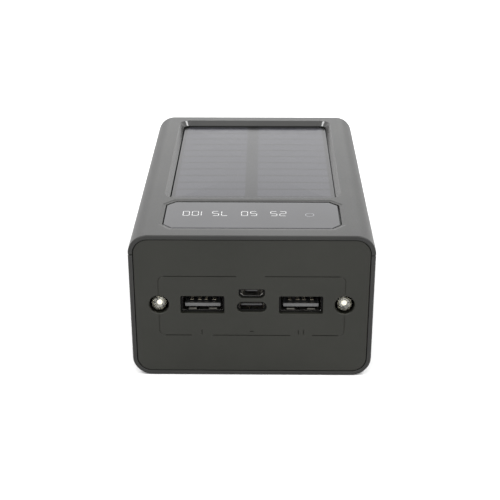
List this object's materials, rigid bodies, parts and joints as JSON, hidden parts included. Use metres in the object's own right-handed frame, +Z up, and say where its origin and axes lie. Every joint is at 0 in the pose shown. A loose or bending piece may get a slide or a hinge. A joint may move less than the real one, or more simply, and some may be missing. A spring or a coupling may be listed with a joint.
{
  "type": "solar power bank",
  "caption": "Box-shaped portable battery charger with a solar panel and a battery gauge window in its top, and output sockets and torch lights in one end.",
  "frame": {"origin": "middle of the underside of the case", "axes": "+Z up, -Y towards the end with the sockets, +X to the right when looking at the sockets"},
  "size_m": [0.076, 0.115, 0.049],
  "materials": {
    "shell_plastic": "satin black moulded plastic",
    "panel_plastic": "fine matt black moulded plastic",
    "button_plastic": "satin black moulded plastic",
    "window_plastic": "polished smoked acrylic",
    "solar_film": "clear laminate over dark cells",
    "solar_cell": "dark silicon with fine lines",
    "circuit_board": "green solder mask",
    "adhesive": "white foam tape",
    "mask_plastic": "white moulded plastic",
    "led_package": "pale resin",
    "torch_lens": "clear epoxy",
    "plated_steel": "bright tin plate",
    "tongue_plastic": "pale grey moulded plastic",
    "dark_insulator": "black moulded plastic",
    "gold_contact": "gold plate",
    "pouch_foil": "satin laminated foil",
    "nickel_strip": "bright nickel",
    "ferrite": "dark ferrite",
    "chip_resin": "black resin",
    "red_wire": "red insulation",
    "black_wire": "black insulation",
    "cable_film": "pale flat cable"
  },
  "bodies": {
    "case": {"battery_cell_1": "pouch_foil", "battery_cell_2": "pouch_foil", "battery_cell_3": "pouch_foil", "battery_cell_4": "pouch_foil", "battery_lead_black": "black_wire", "battery_lead_red": "red_wire", "battery_strip_negative": "nickel_strip", "battery_strip_positive": "nickel_strip", "board_screw_1": "plated_steel", "board_screw_2": "plated_steel", "board_screw_3": "plated_steel", "board_screw_4": "plated_steel", "controller_chip": "chip_resin", "display_board": "circuit_board", "display_cable": "cable_film", "display_window": "window_plastic", "front_panel": "panel_plastic", "gauge_led_1": "led_package", "gauge_led_2": "led_package", "gauge_led_3": "led_package", "gauge_led_4": "led_package", "gauge_led_5": "led_package", "light_mask": "mask_plastic", "lower_case": "shell_plastic", "main_board": "circuit_board", "micro_usb_shell": "plated_steel", "micro_usb_tongue": "dark_insulator", "panel_adhesive": "adhesive", "power_inductor": "ferrite", "rear_panel": "panel_plastic", "solar_board": "circuit_board", "solar_cells_left": "solar_cell", "solar_cells_right": "solar_cell", "solar_film": "solar_film", "solar_lead_black": "black_wire", "solar_lead_red": "red_wire", "switch_body": "dark_insulator", "top_cover": "shell_plastic", "torch_lead_left_1": "plated_steel", "torch_lead_left_2": "plated_steel", "torch_lead_right_1": "plated_steel", "torch_lead_right_2": "plated_steel", "torch_led_left": "torch_lens", "torch_led_right": "torch_lens", "usb_a_contact_left_1": "gold_contact", "usb_a_contact_left_2": "gold_contact", "usb_a_contact_left_3": "gold_contact", "usb_a_contact_left_4": "gold_contact", "usb_a_contact_right_1": "gold_contact", "usb_a_contact_right_2": "gold_contact", "usb_a_contact_right_3": "gold_contact", "usb_a_contact_right_4": "gold_contact", "usb_a_shell_left": "plated_steel", "usb_a_shell_right": "plated_steel", "usb_a_tongue_left": "tongue_plastic", "usb_a_tongue_right": "tongue_plastic", "usb_c_shell": "plated_steel", "usb_c_tongue": "dark_insulator"},
    "button": {"power_button": "button_plastic"},
    "plunger": {"switch_plunger": "tongue_plastic"}
  },
  "joints": [
    {"name": "button_press", "type": "slide", "parent": "case", "child": "button", "axis": [-1, 0, 0], "range_m": [0, 0.0003], "stiffness_N_per_m": 2000, "springref_m": -0.0005},
    {"name": "plunger_press", "type": "slide", "parent": "case", "child": "plunger", "axis": [-1, 0, 0], "range_m": [0, 0.0003]}
  ],
  "couplings": [
    {"joint": "plunger_press", "follows": "button_press", "ratio": 1}
  ]
}
